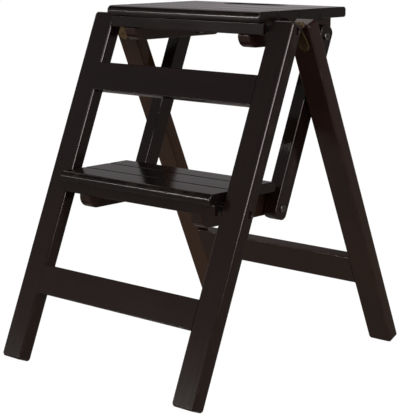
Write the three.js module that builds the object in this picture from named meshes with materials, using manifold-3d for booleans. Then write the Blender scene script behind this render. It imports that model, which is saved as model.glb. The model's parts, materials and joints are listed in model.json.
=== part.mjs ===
// Folding two-step stool: a wooden front frame and a wooden rear frame joined by two brass hinges,
// with a slatted seat and a slatted tread that fold up together on two link bars.
// Millimetres, +Z up, +X to the right seen from the front, +Y towards the back.

import * as THREE from 'three';
import { mergeVertices, toCreasedNormals } from 'three/addons/utils/BufferGeometryUtils.js';
import Module from 'manifold-3d';

const wasm = await Module();
wasm.setup();

// Frames
const overallWidth = 356;
const frontLean = THREE.MathUtils.degToRad(22.3);
const rearLean = THREE.MathUtils.degToRad(23.9);
const stileLength = 500;
const postWidth = 38;
const postThickness = 21;
const postCorner = 5;
const woodEase = 1.8;

// Rails, each placed along the posts that carry it: the upper one by its top edge, down from the
// stiles' top ends, and the lower ones by their lower edge, up from the feet
const upperRailHeight = 40;
const upperRailDrop = 73.3;
const lowerRailHeight = 40;
const lowerRailFoot = 94.7;
const rearRailHeight = 43;
const rearRailFoot = 99.5;
const railThickness = 14;
const railCorner = 2.2;
const tenonThickness = 7;
const tenonHeight = 24;
const tenonLength = 16;

// Seat and tread, whose tops lie a slat and the pivots' depth above their pivots
const pivotUnderSlats = 9.4;
const seatSlatDepths = [40.1, 42.5, 46, 58];
const treadSlatDepths = [46.5, 46.5, 38];
const slatThickness = 13.8;
const sideClearance = 4;
const noseTopRadius = 5.5;
const noseUnderRadius = 3.5;
const rearTopRadius = 4;
const grooveChamfer = 1.6;
const slatUnderRadius = 1.6;
const slatEndEase = 1.2;
const seatNoseReach = 24.7;
const treadNoseReach = 27.1;
const apronSetback = 9;
const apronThickness = 7;
const apronHeight = 16;
const apronEase = 1.4;
const cleatThickness = 20;
const seatCleatHeight = 33.6;
const treadCleatHeight = 35.4;
const cleatFrontReach = 14.5;
const cleatFrontRadius = 14.8;
const cleatRearRadius = 6;
const cleatRearReach = 13;
const cleatRearInset = 1;
const cleatEase = 1.2;

// Hand slot in the rear slat of the seat
const slotLength = 100;
const slotWidth = 25;
const slotChamfer = 1.8;

// Linkage: the pivots in the stiles, and the link bar's pivots behind and below them
const seatPivotBelowTop = 10;
const treadPivotHeight = 251;
const linkBack = 118.4;
const linkDrop = 15;
const linkInset = 0.5;
const linkWidth = 20;
const linkDepth = 25;
const linkEndReach = 15;
const linkEndRadius = 9;
const linkEase = 1.5;

// Pivot hardware
const boltRadius = 3;
const boltTipReach = 1.5;
const frameHeadRadius = 4.2;
const linkHeadRadius = 5.2;
const headHeight = 2.4;
const headRim = 0.8;
const recessDepth = 4.5;
const nutRadius = 6;
const nutThickness = 4.5;
const washerRadius = 7;
const washerThickness = 2.9;
const spacerRadius = 4.5;

// Stop pins of the tread: pegs in the stiles that the slats come to rest on, just behind the pivot
const stopPinRadius = 2.5;
const stopPinBack = 6;
const stopPinReach = 18;
const stopPinSocket = 16;

// Brass hinges
const hingeOffCentre = 3.5;
const hingeRise = 3;
const barrelRadius = 4;
const leafThickness = 1.6;
const leafBulbRadius = 8.5;
const leafBulbDrop = 31;
const leafNeckWidth = 7;
const leafNeckDrop = 7;
const centreKnuckle = 9;
const sideKnuckle = 5;
const knuckleGap = 0.4;
const hingePinRadius = 1.8;
const hingePinHead = 2.8;
const hingePinHeadHeight = 1.2;
const leafScrewHole = 2.2;

// Clearances
const fit = 0.3;
const openPivotClearance = 0.8;
const overrun = 2;

// Facets
const cornerSegments = 2;
const wideSegments = 5;
const easeSegments = 2;
const roundSegments = 16;
const domeSegments = 3;
const creaseAngle = THREE.MathUtils.degToRad(32);

// Worked out from the sizes above
const halfWidth = overallWidth / 2;
const innerHalf = halfWidth - postWidth;
const slatHalf = innerHalf - sideClearance;
const linkOuter = slatHalf - linkInset;
const linkInner = linkOuter - linkWidth;
const cleatOuter = linkInner - washerThickness - 2 * fit;
const cleatInner = cleatOuter - cleatThickness;
const midThickness = postThickness / 2;
const pivotSpan = stileLength - seatPivotBelowTop - treadPivotHeight;
const seatDepth = seatSlatDepths.reduce((sum, depth) => sum + depth, 0);
const stepTop = pivotUnderSlats + slatThickness;
const boreRadius = boltRadius + fit;
const hingeOffset = barrelRadius + fit;

// A point of the front frame (distance behind the stiles' front face, distance up the stile)
// in the upright frame whose floor is at zero
const sinFront = Math.sin(frontLean);
const cosFront = Math.cos(frontLean);
const sinRear = Math.sin(rearLean);
const cosRear = Math.cos(rearLean);
const frontPoint = (behind, along) => ({
  y: along * sinFront + behind * cosFront,
  z: (postThickness - behind) * sinFront + along * cosFront,
});
const seatPivot = frontPoint(midThickness, stileLength - seatPivotBelowTop);
const treadPivot = frontPoint(midThickness, treadPivotHeight);
const hingeAxis = frontPoint(postThickness + hingeOffset, stileLength + hingeRise);
const upperRailFoot = stileLength - upperRailDrop - upperRailHeight;
const legLength = (hingeAxis.z + hingeOffset * sinRear) / cosRear - hingeRise;

const wood = new THREE.MeshStandardMaterial({ color: 0x2a2220, roughness: 0.38, metalness: 0 });
const brass = new THREE.MeshStandardMaterial({ color: 0xb08a4a, roughness: 0.35, metalness: 1 });
const steel = new THREE.MeshStandardMaterial({ color: 0xb9bcc0, roughness: 0.3, metalness: 1 });
const blackened = new THREE.MeshStandardMaterial({ color: 0x22211f, roughness: 0.42, metalness: 0.6 });
const nylon = new THREE.MeshStandardMaterial({ color: 0x1d1c1c, roughness: 0.55, metalness: 0 });

// Joining and cutting

function toSolid(geometry) {
  const bare = geometry.clone();
  bare.deleteAttribute('normal');
  bare.deleteAttribute('uv');
  const merged = mergeVertices(bare);
  return new wasm.Manifold(new wasm.Mesh({
    numProp: 3,
    vertProperties: Float32Array.from(merged.attributes.position.array),
    triVerts: Uint32Array.from(merged.index.array),
  }));
}

function toGeometry(solid) {
  const mesh = solid.getMesh();
  const geometry = new THREE.BufferGeometry();
  geometry.setAttribute('position', new THREE.BufferAttribute(mesh.vertProperties, mesh.numProp));
  geometry.setIndex(new THREE.BufferAttribute(mesh.triVerts, 1));
  return geometry;
}

function cut(geometry, tools) {
  return toGeometry(tools.reduce((solid, tool) => solid.subtract(toSolid(tool)), toSolid(geometry)));
}

function join(geometry, others) {
  return toGeometry(others.reduce((solid, other) => solid.add(toSolid(other)), toSolid(geometry)));
}

function node(parent, name, geometry, material) {
  const mesh = new THREE.Mesh(toCreasedNormals(geometry, creaseAngle), material);
  mesh.name = name;
  parent.add(mesh);
}

// Outlines

// Rectangle from (left, bottom) to (right, top); each corner is round, or flat where it is a chamfer
function cornered(left, bottom, right, top, corners) {
  const { leftBottom, rightBottom, rightTop, leftTop } = corners;
  const shape = new THREE.Shape();
  const turn = (x, y, corner, start) => {
    const end = start + Math.PI / 2;
    if (corner.chamfer) {
      shape.lineTo(x + corner.size * Math.cos(start), y + corner.size * Math.sin(start));
      shape.lineTo(x + corner.size * Math.cos(end), y + corner.size * Math.sin(end));
    } else {
      shape.absarc(x, y, corner.size, start, end, false);
    }
  };
  shape.moveTo(left + leftBottom.size, bottom);
  turn(right - rightBottom.size, bottom + rightBottom.size, rightBottom, -Math.PI / 2);
  turn(right - rightTop.size, top - rightTop.size, rightTop, 0);
  turn(left + leftTop.size, top - leftTop.size, leftTop, Math.PI / 2);
  turn(left + leftBottom.size, bottom + leftBottom.size, leftBottom, Math.PI);
  return shape;
}

const round = (size) => ({ size, chamfer: false });
const flat = (size) => ({ size, chamfer: true });
const allRound = (size) => ({
  leftBottom: round(size), rightBottom: round(size), rightTop: round(size), leftTop: round(size),
});

// Extrusion of an outline with eased edges all round, from zero up to its thickness
function eased(shape, thickness, ease, segments) {
  const geometry = new THREE.ExtrudeGeometry(shape, {
    depth: thickness - 2 * ease,
    bevelEnabled: true,
    bevelThickness: ease,
    bevelSize: ease,
    bevelOffset: -ease,
    bevelSegments: easeSegments,
    curveSegments: segments,
  });
  return geometry.translate(0, 0, ease);
}

// Turns an outline drawn across and up into a board that stands on its thickness, front face at zero
function standing(geometry, thickness) {
  return geometry.rotateX(Math.PI / 2).translate(0, thickness, 0);
}

// Turns an outline drawn back and up into a piece that runs along X
const acrossBasis = new THREE.Matrix4().makeBasis(
  new THREE.Vector3(0, 1, 0),
  new THREE.Vector3(0, 0, 1),
  new THREE.Vector3(1, 0, 0),
);
function across(geometry, from) {
  return geometry.applyMatrix4(acrossBasis).translate(from, 0, 0);
}

// Turned pieces, whose axis lies along X and points outwards on their own side

function turned(points, side, from) {
  const profile = points.map(([radius, along]) => new THREE.Vector2(radius, along));
  const geometry = new THREE.LatheGeometry(profile, roundSegments);
  return geometry.rotateZ(-side * Math.PI / 2).translate(side * from, 0, 0);
}

function rod(radius, side, from, to) {
  return turned([[0, 0], [radius, 0], [radius, to - from], [0, to - from]], side, from);
}

function tube(inner, outer, side, from, to) {
  const length = to - from;
  return turned([[inner, 0], [outer, 0], [outer, length], [inner, length], [inner, 0]], side, from);
}

function domed(radius, headRadius, height, side, tip, seat) {
  const points = [[0, 0], [radius, 0], [radius, seat - tip], [headRadius, seat - tip]];
  const rise = height - headRim;
  for (let i = 0; i <= domeSegments; i += 1) {
    const angle = (i / domeSegments) * Math.PI / 2;
    points.push([headRadius * Math.cos(angle), seat - tip + headRim + rise * Math.sin(angle)]);
  }
  points[points.length - 1][0] = 0;
  return turned(points, side, tip);
}

function hexNut(side, from) {
  const corners = [0, 1, 2, 3, 4, 5].map((turn) => new THREE.Vector2(
    nutRadius * Math.cos(turn * Math.PI / 3), nutRadius * Math.sin(turn * Math.PI / 3),
  ));
  const shape = new THREE.Shape(corners);
  const hole = new THREE.Path();
  hole.absarc(0, 0, boreRadius, 0, 2 * Math.PI, true);
  shape.holes.push(hole);
  const geometry = new THREE.ExtrudeGeometry(shape, {
    depth: nutThickness, bevelEnabled: false, curveSegments: roundSegments / 2,
  });
  return across(geometry, side > 0 ? from - nutThickness : -from);
}

function box(minimum, maximum) {
  const size = maximum.clone().sub(minimum);
  const centre = minimum.clone().add(maximum).divideScalar(2);
  return new THREE.BoxGeometry(size.x, size.y, size.z).translate(centre.x, centre.y, centre.z);
}

// Wooden frames

function post(side, length) {
  const shape = cornered(-postWidth / 2, 0, postWidth / 2, length, allRound(postCorner));
  const board = standing(eased(shape, postThickness, woodEase, cornerSegments), postThickness);
  return board.translate(side * (halfWidth - postWidth / 2), 0, 0);
}

// Mortise for a rail's tenon, in the inner face of the post on the given side
function mortise(side, railFoot, railHeight) {
  const middle = railFoot + railHeight / 2;
  const near = side * (innerHalf - overrun);
  const far = side * (innerHalf + tenonLength + fit);
  const back = (railThickness + tenonThickness) / 2 + fit;
  const front = (railThickness - tenonThickness) / 2 - fit;
  return box(
    new THREE.Vector3(Math.min(near, far), front, middle - tenonHeight / 2 - fit),
    new THREE.Vector3(Math.max(near, far), back, middle + tenonHeight / 2 + fit),
  );
}

function rail(foot, height) {
  const reach = innerHalf - fit;
  const shape = cornered(-reach, foot, reach, foot + height, allRound(railCorner));
  const board = standing(eased(shape, railThickness, woodEase, cornerSegments), railThickness);
  const middle = foot + height / 2;
  const tenonReach = innerHalf + tenonLength;
  const tenon = box(
    new THREE.Vector3(-tenonReach, (railThickness - tenonThickness) / 2, middle - tenonHeight / 2),
    new THREE.Vector3(tenonReach, (railThickness + tenonThickness) / 2, middle + tenonHeight / 2),
  );
  return join(board, [tenon]);
}

// Moves a turned piece to where the slats of the open tread touch it, in the front frame
function atStop(geometry) {
  const rise = pivotUnderSlats - fit - stopPinRadius;
  const behind = stopPinBack * cosFront - rise * sinFront;
  const along = stopPinBack * sinFront + rise * cosFront;
  return geometry.translate(0, midThickness + behind, treadPivotHeight + along);
}

function frontStile(side) {
  const tools = [
    mortise(side, upperRailFoot, upperRailHeight),
    mortise(side, lowerRailFoot, lowerRailHeight),
  ];
  for (const height of [stileLength - seatPivotBelowTop, treadPivotHeight]) {
    const bore = rod(boreRadius, side, innerHalf - overrun, halfWidth + overrun);
    const recess = rod(frameHeadRadius + fit, side, halfWidth - recessDepth, halfWidth + overrun);
    tools.push(bore.translate(0, midThickness, height));
    tools.push(recess.translate(0, midThickness, height));
  }
  tools.push(atStop(rod(stopPinRadius + fit, side, innerHalf - overrun, innerHalf + stopPinSocket)));
  return cut(post(side, stileLength), tools);
}

function rearLeg(side) {
  return cut(post(side, legLength), [mortise(side, rearRailFoot, rearRailHeight)]);
}

// Brass hinge: leaves drawn about the hinge axis, plate on the side that facing points to

function leafPlate(topWidth) {
  const bulb = new THREE.Vector2(0, -leafBulbDrop);
  const neck = new THREE.Vector2(leafNeckWidth / 2, -leafNeckDrop);
  const distance = neck.distanceTo(bulb);
  const towards = Math.atan2(neck.y - bulb.y, neck.x - bulb.x);
  const tangent = towards - Math.acos(leafBulbRadius / distance);
  const shape = new THREE.Shape();
  shape.moveTo(topWidth / 2, 0);
  shape.lineTo(-topWidth / 2, 0);
  shape.lineTo(-topWidth / 2, -barrelRadius);
  shape.lineTo(-leafNeckWidth / 2, -leafNeckDrop);
  shape.absarc(bulb.x, bulb.y, leafBulbRadius, Math.PI - tangent, tangent + 2 * Math.PI, false);
  shape.lineTo(leafNeckWidth / 2, -leafNeckDrop);
  shape.lineTo(topWidth / 2, -barrelRadius);
  const hole = new THREE.Path();
  hole.absarc(bulb.x, bulb.y, leafScrewHole, 0, 2 * Math.PI, true);
  shape.holes.push(hole);
  const plate = new THREE.ExtrudeGeometry(shape, {
    depth: leafThickness, bevelEnabled: false, curveSegments: roundSegments,
  });
  return plate.rotateX(Math.PI / 2);
}

// Knuckles are given as spans along X; facing is 1 for a plate behind the axis and -1 for one in front
function hingeLeaf(facing, knuckles, gaps) {
  const reach = Math.max(...knuckles.flat());
  const plate = leafPlate(2 * reach);
  plate.translate(0, facing > 0 ? barrelRadius : leafThickness - barrelRadius, 0);
  const barrels = knuckles.map(([from, to]) => rod(barrelRadius, 1, from, to));
  const clearOfOther = gaps.map(([from, to]) => rod(barrelRadius + knuckleGap, 1, from, to));
  const pinBore = rod(hingePinRadius + fit, 1, -reach - overrun, reach + overrun);
  return cut(join(plate, barrels), [...clearOfOther, pinBore]);
}

function hingePin() {
  const reach = centreKnuckle / 2 + knuckleGap + sideKnuckle + fit;
  const pin = rod(hingePinRadius, 1, -reach - hingePinHeadHeight / 2, reach + hingePinHeadHeight / 2);
  const heads = [-1, 1].map((side) => domed(
    hingePinRadius, hingePinHead, hingePinHeadHeight, side, 0, reach,
  ));
  return join(pin, heads);
}

// Seat and tread, drawn about their pivot axis

function slat(front, back, first, last) {
  const shape = cornered(front, pivotUnderSlats, back, stepTop, {
    leftBottom: round(first ? noseUnderRadius : slatUnderRadius),
    rightBottom: round(last ? noseUnderRadius : slatUnderRadius),
    rightTop: last ? round(rearTopRadius) : flat(grooveChamfer),
    leftTop: first ? round(noseTopRadius) : flat(grooveChamfer),
  });
  return across(eased(shape, 2 * slatHalf, slatEndEase, cornerSegments), -slatHalf);
}

function handSlotTools(middle) {
  const endCentre = (slotLength - slotWidth) / 2;
  const outline = new THREE.Shape();
  outline.absarc(endCentre, middle, slotWidth / 2, -Math.PI / 2, Math.PI / 2, false);
  outline.absarc(-endCentre, middle, slotWidth / 2, Math.PI / 2, 1.5 * Math.PI, false);
  const through = new THREE.ExtrudeGeometry(outline, {
    depth: slatThickness + 2 * overrun, bevelEnabled: false, curveSegments: 2 * wideSegments,
  });
  const flare = new THREE.ExtrudeGeometry(outline, {
    depth: overrun,
    bevelEnabled: true,
    bevelThickness: slotChamfer,
    bevelSize: slotChamfer,
    bevelSegments: 1,
    curveSegments: 2 * wideSegments,
  });
  const underCut = pivotUnderSlats - overrun;
  return [
    through.translate(0, 0, underCut),
    flare.clone().translate(0, 0, stepTop),
    flare.clone().translate(0, 0, underCut),
  ];
}

function apron(front) {
  const back = front + apronThickness;
  const bottom = pivotUnderSlats - apronHeight;
  const shape = cornered(front, bottom, back, pivotUnderSlats - fit, allRound(apronEase));
  return across(eased(shape, 2 * slatHalf, slatEndEase, cornerSegments), -slatHalf);
}

// The cleat's front end is notched round the apron
function cleat(side, apronBack, rear, height) {
  const top = pivotUnderSlats - fit;
  const bottom = pivotUnderSlats - height;
  const notchFloor = pivotUnderSlats - apronHeight - fit;
  const front = -cleatFrontReach;
  const shape = new THREE.Shape();
  shape.moveTo(rear, top);
  shape.lineTo(apronBack + fit, top);
  shape.lineTo(apronBack + fit, notchFloor);
  shape.lineTo(front, notchFloor);
  shape.absarc(
    front + cleatFrontRadius, bottom + cleatFrontRadius, cleatFrontRadius, Math.PI, 1.5 * Math.PI, false,
  );
  shape.absarc(rear - cleatRearRadius, bottom + cleatRearRadius, cleatRearRadius, -Math.PI / 2, 0, false);
  const board = eased(shape, cleatThickness, cleatEase, wideSegments);
  const from = side > 0 ? cleatInner : -cleatOuter;
  const bores = [[0, 0], [linkBack, -linkDrop]].map(([back, up]) => (
    rod(boreRadius, side, cleatInner - overrun, cleatOuter + overrun).translate(0, back, up)
  ));
  return cut(across(board, from), bores);
}

function step(parent, name, { slatDepths, noseReach, rearReach, cleatHeight, slotted }) {
  let front = -noseReach;
  slatDepths.forEach((depth, index) => {
    const first = index === 0;
    const last = index === slatDepths.length - 1;
    const board = slat(front, front + depth - (last ? 0 : fit), first, last);
    const hand = slotted && last;
    const finished = hand ? cut(board, handSlotTools(front + depth / 2)) : board;
    node(parent, `${name}_slat_${index + 1}`, finished, wood);
    front += depth;
  });
  const apronFront = -noseReach + apronSetback;
  node(parent, `${name}_apron`, apron(apronFront), wood);
  for (const [side, sideName] of [[-1, 'left'], [1, 'right']]) {
    const board = cleat(side, apronFront + apronThickness, rearReach, cleatHeight);
    node(parent, `${name}_cleat_${sideName}`, board, wood);
  }
}

// Link bar, drawn about its upper pivot, hanging down its own length
function linkBar(side) {
  const shape = cornered(
    -linkDepth / 2, -pivotSpan - linkEndReach, linkDepth / 2, linkEndReach, allRound(linkEndRadius),
  );
  const bar = across(eased(shape, linkWidth, linkEase, wideSegments), side > 0 ? linkInner : -linkOuter);
  const from = linkInner - overrun;
  const to = linkOuter + overrun;
  return cut(bar, [
    rod(boreRadius, side, from, to),
    rod(boltRadius + openPivotClearance, side, from, to).translate(0, 0, -pivotSpan),
  ]);
}

// Bolt and nut of a link pivot, with the washer between the cleat and the link bar
function linkPivot(parent, name, side, sideName) {
  const place = (geometry) => geometry.translate(0, linkBack, -linkDrop);
  const nutFace = cleatInner - fit;
  const tip = nutFace - nutThickness - boltTipReach;
  const bolt = domed(boltRadius, linkHeadRadius, headHeight, side, tip, linkOuter + fit);
  const washer = tube(boreRadius, washerRadius, side, cleatOuter + fit, cleatOuter + fit + washerThickness);
  node(parent, `${name}_link_bolt_${sideName}`, place(bolt), steel);
  node(parent, `${name}_link_nut_${sideName}`, place(hexNut(side, nutFace)), steel);
  node(parent, `${name}_link_washer_${sideName}`, place(washer), nylon);
}

// Bolt, nut and spacer where a step turns in the stile, placed in the front frame
function framePivot(parent, name, side, sideName, height) {
  const place = (geometry) => geometry.translate(0, midThickness, height);
  const nutFace = cleatInner - fit;
  const tip = nutFace - nutThickness - boltTipReach;
  const bolt = domed(boltRadius, frameHeadRadius, headHeight, side, tip, halfWidth - recessDepth + fit);
  const spacer = tube(boreRadius, spacerRadius, side, cleatOuter + fit, innerHalf - fit);
  node(parent, `${name}_pivot_bolt_${sideName}`, place(bolt), blackened);
  node(parent, `${name}_pivot_nut_${sideName}`, place(hexNut(side, nutFace)), steel);
  node(parent, `${name}_pivot_spacer_${sideName}`, place(spacer), nylon);
}

// Assembly

const stool = new THREE.Group();

const frontFrame = new THREE.Group();
frontFrame.name = 'front_frame';
frontFrame.position.z = postThickness * sinFront;
frontFrame.rotation.x = -frontLean;
stool.add(frontFrame);

const rearFrame = new THREE.Group();
rearFrame.name = 'rear_frame';
rearFrame.position.y = hingeAxis.y + (legLength + hingeRise) * sinRear + hingeOffset * cosRear;
rearFrame.rotation.x = rearLean;
stool.add(rearFrame);

const seat = new THREE.Group();
seat.name = 'seat';
seat.position.set(0, seatPivot.y, seatPivot.z);
stool.add(seat);

const tread = new THREE.Group();
tread.name = 'tread';
tread.position.set(0, treadPivot.y, treadPivot.z);
stool.add(tread);

node(frontFrame, 'front_upper_rail', rail(upperRailFoot, upperRailHeight), wood);
node(frontFrame, 'front_lower_rail', rail(lowerRailFoot, lowerRailHeight), wood);
node(rearFrame, 'rear_rail', rail(rearRailFoot, rearRailHeight), wood);
step(seat, 'seat', {
  slatDepths: seatSlatDepths,
  noseReach: seatNoseReach,
  rearReach: seatDepth - seatNoseReach - cleatRearInset,
  cleatHeight: seatCleatHeight,
  slotted: true,
});
step(tread, 'tread', {
  slatDepths: treadSlatDepths,
  noseReach: treadNoseReach,
  rearReach: linkBack + cleatRearReach,
  cleatHeight: treadCleatHeight,
  slotted: false,
});

const centreSpan = [-centreKnuckle / 2, centreKnuckle / 2];
const sideSpan = [centreKnuckle / 2 + knuckleGap, centreKnuckle / 2 + knuckleGap + sideKnuckle];
const sideSpans = [sideSpan, sideSpan.map((x) => -x).reverse()];

for (const [side, sideName] of [[-1, 'left'], [1, 'right']]) {
  node(frontFrame, `front_stile_${sideName}`, frontStile(side), wood);
  node(rearFrame, `rear_leg_${sideName}`, rearLeg(side), wood);
  framePivot(frontFrame, 'seat', side, sideName, stileLength - seatPivotBelowTop);
  framePivot(frontFrame, 'tread', side, sideName, treadPivotHeight);
  const stopPin = rod(stopPinRadius, side, innerHalf - stopPinReach, innerHalf + stopPinSocket - fit);
  node(frontFrame, `tread_stop_pin_${sideName}`, atStop(stopPin), blackened);
  linkPivot(seat, 'seat', side, sideName);
  linkPivot(tread, 'tread', side, sideName);

  const link = new THREE.Group();
  link.name = `link_${sideName}_place`;
  link.position.set(0, seatPivot.y + linkBack, seatPivot.z - linkDrop);
  link.rotation.x = -frontLean;
  stool.add(link);
  node(link, `link_${sideName}`, linkBar(side), wood);

  const hingeX = side * (halfWidth - postWidth / 2 + hingeOffCentre);
  const frontHinge = new THREE.Group();
  frontHinge.name = `hinge_${sideName}_place`;
  frontHinge.position.set(hingeX, postThickness + hingeOffset, stileLength + hingeRise);
  frontFrame.add(frontHinge);
  node(frontHinge, `hinge_front_leaf_${sideName}`, hingeLeaf(-1, sideSpans, [centreSpan]), brass);
  node(frontHinge, `hinge_pin_${sideName}`, hingePin(), brass);

  const rearHinge = new THREE.Group();
  rearHinge.position.set(hingeX, -hingeOffset, legLength + hingeRise);
  rearFrame.add(rearHinge);
  node(rearHinge, `hinge_rear_leaf_${sideName}`, hingeLeaf(1, [centreSpan], sideSpans), brass);
}

// The origin is on the floor, under the middle of the stool
const bounds = new THREE.Box3().setFromObject(stool, true);
const middle = bounds.getCenter(new THREE.Vector3());
stool.position.set(-middle.x, -middle.y, -bounds.min.z);

export default stool;
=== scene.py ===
"""Looks of the folding step stool: dark stained boards, brass hinges and steel pivots.

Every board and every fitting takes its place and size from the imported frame. What is named here is
what the frame doesn't hold: how edges and corners are rounded, screws and their drives, grooves and
threads, the finishes, and the studio. Lengths are in metres; small ones are millimetres times MM.
"""

import json
import math
import random

import bmesh
import bpy
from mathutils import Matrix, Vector


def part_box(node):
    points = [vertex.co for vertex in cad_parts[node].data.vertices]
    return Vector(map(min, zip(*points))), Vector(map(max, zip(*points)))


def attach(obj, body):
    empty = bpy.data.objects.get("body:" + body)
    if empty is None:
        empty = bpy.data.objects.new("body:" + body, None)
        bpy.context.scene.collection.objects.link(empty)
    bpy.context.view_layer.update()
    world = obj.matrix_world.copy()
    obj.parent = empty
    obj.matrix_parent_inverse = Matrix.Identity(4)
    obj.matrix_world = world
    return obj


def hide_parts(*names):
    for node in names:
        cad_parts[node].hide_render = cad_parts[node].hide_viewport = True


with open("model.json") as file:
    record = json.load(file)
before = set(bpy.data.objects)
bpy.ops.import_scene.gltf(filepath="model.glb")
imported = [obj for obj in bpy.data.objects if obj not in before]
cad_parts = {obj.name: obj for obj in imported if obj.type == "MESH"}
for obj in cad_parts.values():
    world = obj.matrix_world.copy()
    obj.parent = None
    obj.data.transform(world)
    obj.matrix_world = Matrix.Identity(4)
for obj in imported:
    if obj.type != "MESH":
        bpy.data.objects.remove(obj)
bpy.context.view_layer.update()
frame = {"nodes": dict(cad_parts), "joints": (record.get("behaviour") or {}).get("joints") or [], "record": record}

MM = 0.001
SEED = 7
SIDES = (("left", -1), ("right", 1))
STEPS = ("seat", "tread")
ALONG_X = Vector((1, 0, 0))
ALONG_Y = Vector((0, 1, 0))
ALONG_Z = Vector((0, 0, 1))
LONG_EDGE = 0.9
joints = {joint["name"]: joint for joint in frame["joints"]}
body_of = {
    node: body for body, nodes in frame["record"]["behaviour"]["bodies"].items() for node in nodes
}
slot_of = {part["node"]: part["material_slot"] for part in frame["record"]["subparts"]}
chance = random.Random(SEED)


def pivot(joint):
    """A point on the axis of a joint."""
    return Vector(joints[joint]["pos_m"])


def span(node, axis):
    """Lowest and highest reach of a CAD node along an axis."""
    reaches = [vertex.co.dot(axis) for vertex in frame["nodes"][node].data.vertices]
    return min(reaches), max(reaches)


def outwards(node):
    """Nearest and furthest reach of a node from the stool's middle plane, for nodes at one side."""
    return sorted(abs(reach) for reach in span(node, ALONG_X))


def upright(node):
    """Upward direction of a post: of its long edges, the one that it is thinnest across."""
    mesh = frame["nodes"][node].data
    places = [vertex.co for vertex in mesh.vertices]
    edges = [places[edge.vertices[1]] - places[edge.vertices[0]] for edge in mesh.edges]
    longest = max(edge.length for edge in edges)
    ways = [edge.normalized() for edge in edges if edge.length > LONG_EDGE * longest]

    def thickness(way):
        low, high = span(node, ALONG_X.cross(way))
        return high - low + abs(way.x)

    along = min(ways, key=thickness)
    return along if along.z > 0 else -along


# Camera, fitted to the photograph, with angles in degrees

PHOTO_WIDTH = 400
SENSOR_WIDTH = 36
FOCAL_PIXELS = 1383.7
CAMERA_PLACE = Vector((1247.0, -1409.1, 573.0)) * MM
CAMERA_YAW = 41.70
CAMERA_DOWN = 11.10

camera_data = bpy.data.cameras.new("camera")
camera_data.sensor_fit = "HORIZONTAL"
camera_data.sensor_width = SENSOR_WIDTH
camera_data.lens = FOCAL_PIXELS / PHOTO_WIDTH * SENSOR_WIDTH
camera = bpy.data.objects.new("camera", camera_data)
camera.location = CAMERA_PLACE
camera.rotation_euler = (math.radians(90 - CAMERA_DOWN), 0, math.radians(CAMERA_YAW))
bpy.context.scene.collection.objects.link(camera)
bpy.context.scene.camera = camera
bpy.context.scene.view_settings.view_transform = "Standard"

# Directions of the boards: up each frame's posts, and out of their front faces

FRONT_UP = (pivot("seat_fold") - pivot("tread_fold")).normalized()
FRONT_OUT = ALONG_X.cross(FRONT_UP)
REAR_UP = upright("rear_leg_left")
REAR_OUT = ALONG_X.cross(REAR_UP)

# Axes of a board: the two that its outline is drawn in, and the one that it is thick or long in

FRONT_POST = (ALONG_X, FRONT_UP, FRONT_OUT)
REAR_POST = (ALONG_X, REAR_UP, REAR_OUT)
FRONT_RAIL = (FRONT_UP, FRONT_OUT, ALONG_X)
REAR_RAIL = (REAR_UP, REAR_OUT, ALONG_X)
LEVEL = (ALONG_Y, ALONG_Z, ALONG_X)
LINK = (-FRONT_OUT, FRONT_UP, ALONG_X)
TOP_VIEW = (ALONG_X, ALONG_Y, ALONG_Z)


# Materials

class Graph:
    """The node tree of a material or world, built one node at a time.

    A Mix node has inputs and results of the same name for every kind of data, so its colour
    sockets go by number.
    """

    COLOUR_SOCKETS = (6, 7)
    COLOUR_RESULT = 2

    def __init__(self, owner):
        self.nodes = owner.node_tree.nodes
        self.links = owner.node_tree.links

    def feed(self, socket, value):
        if isinstance(value, bpy.types.NodeSocket):
            self.links.new(value, socket)
        else:
            socket.default_value = value

    def add(self, kind, inputs=None, **settings):
        node = self.nodes.new(kind)
        for key, value in settings.items():
            setattr(node, key, value)
        for key, value in (inputs or {}).items():
            self.feed(node.inputs[key], value)
        return node

    def math(self, operation, first, second):
        return self.add("ShaderNodeMath", {0: first, 1: second}, operation=operation).outputs[0]

    def dot(self, first, second):
        node = self.add("ShaderNodeVectorMath", {0: first, 1: second}, operation="DOT_PRODUCT")
        return node.outputs["Value"]

    def stretch(self, vector, **settings):
        """A vector that is turned or scaled, by inputs of the mapping node."""
        return self.add("ShaderNodeMapping", {"Vector": vector, **settings}).outputs[0]

    def mix(self, factor, first, second):
        """The first colour where factor is zero, and the second where it is one."""
        node = self.add("ShaderNodeMix", {"Factor": factor}, data_type="RGBA")
        for socket, value in zip(self.COLOUR_SOCKETS, (first, second)):
            self.feed(node.inputs[socket], value)
        return node.outputs[self.COLOUR_RESULT]

    def choose(self, which, first, second):
        """The first value where which is zero, and the second where it is one."""
        inputs = {"Factor": which, "A": first, "B": second}
        return self.add("ShaderNodeMix", inputs, data_type="FLOAT").outputs[0]

    def ramp(self, value, low, high, to_low=0.0, to_high=1.0):
        """Goes smoothly from to_low to to_high while value goes from low to high."""
        node = self.add(
            "ShaderNodeMapRange",
            {
                "Value": value, "From Min": low, "From Max": high,
                "To Min": to_low, "To Max": to_high,
            },
            interpolation_type="SMOOTHSTEP",
        )
        return node.outputs["Result"]

    def noise(self, vector, scale, detail, roughness=0.55, distortion=0.0):
        node = self.add("ShaderNodeTexNoise", {
            "Vector": vector, "Scale": scale, "Detail": detail,
            "Roughness": roughness, "Distortion": distortion,
        })
        return node.outputs[0]

    def bump(self, height, strength, distance):
        inputs = {"Height": height, "Strength": strength, "Distance": distance}
        return self.add("ShaderNodeBump", inputs).outputs[0]


def new_material(name):
    material = bpy.data.materials.new(name)
    material.use_nodes = True
    material.node_tree.nodes.clear()
    return material


def surface(graph, inputs):
    shader = graph.add("ShaderNodeBsdfPrincipled", inputs)
    graph.add("ShaderNodeOutputMaterial", {"Surface": shader.outputs[0]})


# Patterns of the wood. LEVELS are the values of a pattern between which it comes in.

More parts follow.
